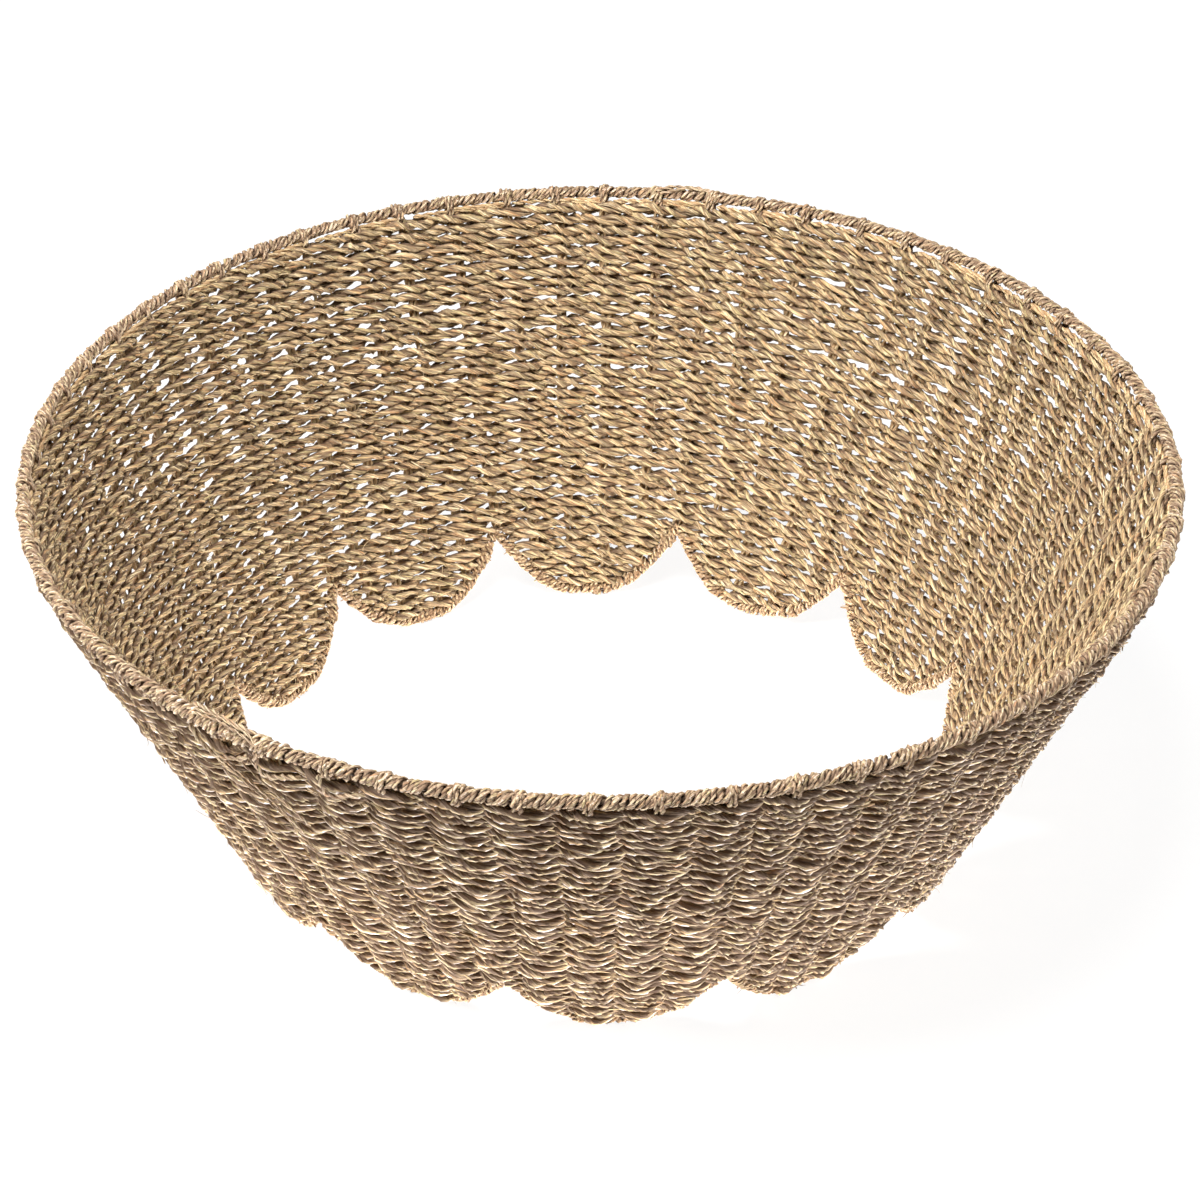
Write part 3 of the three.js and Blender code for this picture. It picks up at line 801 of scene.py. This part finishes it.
def seagrass_group():
    """Twisted seagrass: leaf blades of several tones, fine fibres, painted shade in the grooves and a
    painted highlight along the outer crests.
    """
    group = bpy.data.node_groups.new("seagrass_grain", "ShaderNodeTree")
    sockets = group.interface
    for name in ("Straw", "Tan", "Olive", "Rust", "Pale", "Shade", "PaintedHighlight"):
        sockets.new_socket(name, in_out="INPUT", socket_type="NodeSocketColor")
    sockets.new_socket("Color", in_out="OUTPUT", socket_type="NodeSocketColor")
    sockets.new_socket("Roughness", in_out="OUTPUT", socket_type="NodeSocketFloat")
    sockets.new_socket("Height", in_out="OUTPUT", socket_type="NodeSocketFloat")
    link = group.links.new
    given = new_node(group, "NodeGroupInput")
    result = new_node(group, "NodeGroupOutput")
    grain = new_node(group, "ShaderNodeAttribute", attribute_name="grain")
    hollow = new_node(group, "ShaderNodeAttribute", attribute_name="hollow")

    def stretched(scale):
        node = new_node(group, "ShaderNodeVectorMath", operation="MULTIPLY")
        node.inputs[1].default_value = scale
        link(grain.outputs["Vector"], node.inputs[0])
        return node.outputs[0]

    def noise(scale, detail):
        node = new_node(group, "ShaderNodeTexNoise")
        node.inputs["Scale"].default_value = 1.0
        node.inputs["Detail"].default_value = detail
        node.inputs["Roughness"].default_value = 0.6
        link(stretched(scale), node.inputs["Vector"])
        return node.outputs["Fac"]

    def ramp(value, low, high, most=1.0):
        node = new_node(group, "ShaderNodeMapRange", interpolation_type="SMOOTHSTEP")
        node.inputs["From Min"].default_value = low
        node.inputs["From Max"].default_value = high
        node.inputs["To Max"].default_value = most
        link(value, node.inputs["Value"])
        return node.outputs["Result"]

    def blend(share, below, above):
        node = new_node(group, "ShaderNodeMix", data_type="RGBA")
        link(share, node.inputs["Factor"])
        link(below, node.inputs["A"])
        link(given.outputs[above], node.inputs["B"])
        return node.outputs["Result"]

    blades = new_node(group, "ShaderNodeTexVoronoi", voronoi_dimensions="3D", feature="F1")
    blades.inputs["Scale"].default_value = 1.0
    link(stretched((1.05, 1.05, 0.085)), blades.inputs["Vector"])
    draw = new_node(group, "ShaderNodeSeparateColor")
    link(blades.outputs["Color"], draw.inputs["Color"])
    length_tone = noise((0.2, 0.2, 0.007), 1.0)
    fibre = noise((1.7, 1.7, 0.055), 3.0)
    patch = noise((0.2, 0.2, 0.022), 1.0)
    tone = blend(ramp(draw.outputs["Red"], 0.1, 0.8), given.outputs["Tan"], "Straw")
    tone = blend(ramp(draw.outputs["Green"], 0.7, 0.9, 0.8), tone, "Olive")
    tone = blend(ramp(draw.outputs["Blue"], 0.84, 0.97, 0.65), tone, "Rust")
    tone = blend(ramp(patch, 0.54, 0.72, 0.5), tone, "Olive")
    tone = blend(ramp(patch, 0.42, 0.28, 0.4), tone, "Rust")
    tone = blend(ramp(draw.outputs["Blue"], 0.25, 0.08, 0.65), tone, "Pale")
    tone = blend(ramp(draw.outputs["Green"], 0.22, 0.04, 0.55), tone, "Shade")
    tone = blend(ramp(length_tone, 0.5, 0.75, 0.3), tone, "Shade")
    tone = blend(ramp(fibre, 0.5, 0.3, 0.6), tone, "Shade")
    tone = blend(ramp(fibre, 0.54, 0.72, 0.65), tone, "Pale")
    tone = blend(ramp(blades.outputs["Distance"], 0.38, 0.66, 0.65), tone, "Shade")
    # Painted shade in the grooves and on the strands' sides, and a painted highlight along the outer crests
    # of strands and the outermost parts of wound cords.
    tone = blend(ramp(hollow.outputs["Fac"], 0.15, 0.85, 0.9), tone, "Shade")
    tone = blend(ramp(hollow.outputs["Fac"], 0.15, 0.0, 0.85), tone, "PaintedHighlight")
    rough = new_node(group, "ShaderNodeMapRange")
    rough.inputs["To Min"].default_value = 0.85
    rough.inputs["To Max"].default_value = 0.58
    link(fibre, rough.inputs["Value"])
    height = new_node(group, "ShaderNodeMath", operation="SUBTRACT")
    link(fibre, height.inputs[0])
    link(blades.outputs["Distance"], height.inputs[1])
    link(tone, result.inputs["Color"])
    link(rough.outputs["Result"], result.inputs["Roughness"])
    link(height.outputs[0], result.inputs["Height"])
    return group


def seagrass(name, group, tones):
    """One cord's own tones of the seagrass."""
    material = bpy.data.materials.new(name)
    material.use_nodes = True
    tree = material.node_tree
    shader = tree.nodes["Principled BSDF"]
    grass = new_node(tree, "ShaderNodeGroup", node_tree=group)
    for socket, value in tones.items():
        grass.inputs[socket].default_value = colour(*value)
    bump = new_node(tree, "ShaderNodeBump")
    bump.inputs["Strength"].default_value = 0.8
    bump.inputs["Distance"].default_value = 0.9 * MM
    tree.links.new(grass.outputs["Color"], shader.inputs["Base Color"])
    tree.links.new(grass.outputs["Roughness"], shader.inputs["Roughness"])
    tree.links.new(grass.outputs["Height"], bump.inputs["Height"])
    tree.links.new(bump.outputs["Normal"], shader.inputs["Normal"])
    shader.inputs["Specular IOR Level"].default_value = 0.5
    return material


def wire_material():
    """Dark coated wire with worn spots."""
    material = bpy.data.materials.new("coated_wire")
    material.use_nodes = True
    tree = material.node_tree
    shader = tree.nodes["Principled BSDF"]
    place = new_node(tree, "ShaderNodeTexCoord")
    noise = new_node(tree, "ShaderNodeTexNoise")
    noise.inputs["Scale"].default_value = 180
    ramp = new_node(tree, "ShaderNodeValToRGB")
    ramp.color_ramp.elements[0].position = 0.42
    ramp.color_ramp.elements[0].color = colour(74, 58, 44)
    ramp.color_ramp.elements[1].position = 0.7
    ramp.color_ramp.elements[1].color = colour(112, 92, 70)
    tree.links.new(place.outputs["Object"], noise.inputs["Vector"])
    tree.links.new(noise.outputs["Fac"], ramp.inputs["Fac"])
    tree.links.new(ramp.outputs["Color"], shader.inputs["Base Color"])
    shader.inputs["Roughness"].default_value = 0.5
    return material


TABLE_NEAR = 1.2  # metres from the collar at which the floor starts to change
TABLE_FAR = 2.4


def floor():
    """A floor that is white to the camera but keeps the collar's shadow; other light finds a pale table."""
    bpy.ops.mesh.primitive_plane_add(size=12, location=(0, 0, -0.0002))
    plane = bpy.context.object
    plane.name = "studio_floor"
    material = bpy.data.materials.new("studio_white")
    material.use_nodes = True
    tree = material.node_tree
    tree.nodes.clear()
    link = tree.links.new
    path = new_node(tree, "ShaderNodeLightPath")
    seen = new_node(tree, "ShaderNodeMath", operation="MAXIMUM")
    seen_too = new_node(tree, "ShaderNodeMath", operation="MAXIMUM")
    link(path.outputs["Is Camera Ray"], seen.inputs[0])
    link(path.outputs["Is Glossy Ray"], seen.inputs[1])
    link(seen.outputs[0], seen_too.inputs[0])
    link(path.outputs["Is Transmission Ray"], seen_too.inputs[1])
    place = new_node(tree, "ShaderNodeTexCoord")
    reach = new_node(tree, "ShaderNodeVectorMath", operation="LENGTH")
    link(place.outputs["Object"], reach.inputs[0])

    def fade(near, far):
        """A value that changes with the distance from the collar."""
        node = new_node(tree, "ShaderNodeMapRange")
        node.inputs["From Min"].default_value = TABLE_NEAR
        node.inputs["From Max"].default_value = TABLE_FAR
        node.inputs["To Min"].default_value = near
        node.inputs["To Max"].default_value = far
        link(reach.outputs["Value"], node.inputs["Value"])
        return node.outputs["Result"]

    dull = new_node(tree, "ShaderNodeBsdfDiffuse")
    link(fade(0.85, 0.3), dull.inputs["Color"])
    shaded = new_node(tree, "ShaderNodeBsdfDiffuse")
    shaded.inputs["Color"].default_value = (0.14, 0.14, 0.14, 1)
    white = new_node(tree, "ShaderNodeEmission")
    link(fade(0.9, 1.0), white.inputs["Strength"])
    both = new_node(tree, "ShaderNodeAddShader")
    link(shaded.outputs[0], both.inputs[0])
    link(white.outputs[0], both.inputs[1])
    mix = new_node(tree, "ShaderNodeMixShader")
    link(seen_too.outputs[0], mix.inputs[0])
    link(dull.outputs[0], mix.inputs[1])
    link(both.outputs[0], mix.inputs[2])
    output = new_node(tree, "ShaderNodeOutputMaterial")
    link(mix.outputs[0], output.inputs["Surface"])
    plane.data.materials.append(material)


def world():
    """Weak even light; white where the camera sees past the floor."""
    sky = bpy.data.worlds.new("studio")
    bpy.context.scene.world = sky
    sky.use_nodes = True
    tree = sky.node_tree
    path = new_node(tree, "ShaderNodeLightPath")
    strength = new_node(tree, "ShaderNodeMapRange")
    strength.inputs["To Min"].default_value = 0.08
    strength.inputs["To Max"].default_value = 1.0
    tree.links.new(path.outputs["Is Camera Ray"], strength.inputs["Value"])
    tree.links.new(strength.outputs["Result"], tree.nodes["Background"].inputs["Strength"])
    tree.nodes["Background"].inputs["Color"].default_value = (1, 1, 1, 1)


def lamp(name, place, aim, size, power):
    """A round soft lamp that the camera does not see."""
    data = bpy.data.lights.new(name, "AREA")
    data.shape = "DISK"
    data.size = size
    data.energy = power
    light = bpy.data.objects.new(name, data)
    bpy.context.scene.collection.objects.link(light)
    light.location = place
    light.rotation_euler = (Vector(aim) - Vector(place)).to_track_quat("-Z", "Y").to_euler()
    light.visible_camera = False


# The photograph's view
VIEW_AZIMUTH = math.radians(-2.19)
VIEW_ELEVATION = math.radians(34.038)
VIEW_DISTANCE = 6.0998 * RIM_RADIUS
AIM_BELOW_RIM = 0.30754 * RIM_RADIUS
FOCAL_PIXELS = 3386.2
IMAGE_WIDTH = 1200


def camera():
    data = bpy.data.cameras.new("camera")
    data.sensor_width = 36
    data.lens = FOCAL_PIXELS / IMAGE_WIDTH * data.sensor_width
    data.clip_end = 50
    eye = bpy.data.objects.new("camera", data)
    bpy.context.scene.collection.objects.link(eye)
    level = math.cos(VIEW_ELEVATION)
    sideways = math.sin(VIEW_AZIMUTH) * level
    forward = -math.cos(VIEW_AZIMUTH) * level
    back = Vector((sideways, forward, math.sin(VIEW_ELEVATION)))
    aim = Vector((0, 0, (RIM_Z - AIM_BELOW_RIM) * MM))
    eye.location = aim + back * VIEW_DISTANCE * MM
    eye.rotation_euler = (-back).to_track_quat("-Z", "Y").to_euler()
    bpy.context.scene.camera = eye


# Shade is both the dark of dark fibres and blade edges and the painted shade in the grooves; the highlight
# colour is a painted highlight.
WEFT_TONES = {
    "Straw": (232, 203, 154),
    "Tan": (208, 170, 120),
    "Olive": (192, 176, 122),
    "Rust": (194, 134, 84),
    "Pale": (246, 226, 186),
    "Shade": (90, 64, 46),
    "PaintedHighlight": (248, 238, 236),
}
# The stake cords are lighter than the weft as painted light, to brighten stakes that lie in shade between
# the courses.
WARP_LIT_TONES = WEFT_TONES | {"Straw": (250, 226, 178), "Tan": (236, 204, 154), "Shade": (164, 126, 88)}
RIM_TONES = WEFT_TONES | {
    "Straw": (218, 192, 157),
    "Tan": (198, 164, 128),
    "Shade": (116, 88, 68),
    "PaintedHighlight": (240, 224, 208),
}
EDGE_TONES = WEFT_TONES | {
    "Straw": (230, 197, 152),
    "Tan": (206, 166, 120),
    "Shade": (110, 77, 52),
    "PaintedHighlight": (240, 224, 208),
}

group = seagrass_group()
weft = seagrass("weft_cord", group, WEFT_TONES)
warp = seagrass("stake_cord", group, WARP_LIT_TONES)
rim = seagrass("rim_cord", group, RIM_TONES)
edge = seagrass("edge_cord", group, EDGE_TONES)

wall_courses(weft)
lobe_courses(weft)
stakes(warp)
rim_winding(rim)
rim_lashings(rim)
rim_splices(rim)
tucked_ends(warp)
edge_winding(edge)
edge_fray(edge)
loose_blades(weft)
stray_fibres(weft)
coated = wire_material()
for wire in ("rim_hoop", "edge_wire"):
    frame["nodes"][wire].data.materials.clear()
    frame["nodes"][wire].data.materials.append(coated)

floor()
world()
lamp("top", (-0.45, -0.52, 2.45), (0, 0, 0.12), 1.2, 91)
lamp("left", (-2.05, -0.5, 1.6), (0, 0, 0.12), 0.8, 62)
lamp("right", (2.0, -0.9, 1.6), (0, 0, 0.12), 0.8, 20.5)
lamp("light_table", (0, 0, 0.0005), (0, 0, 1), 1.02, 10.0)
camera()
bpy.context.scene.view_settings.view_transform = "Standard"
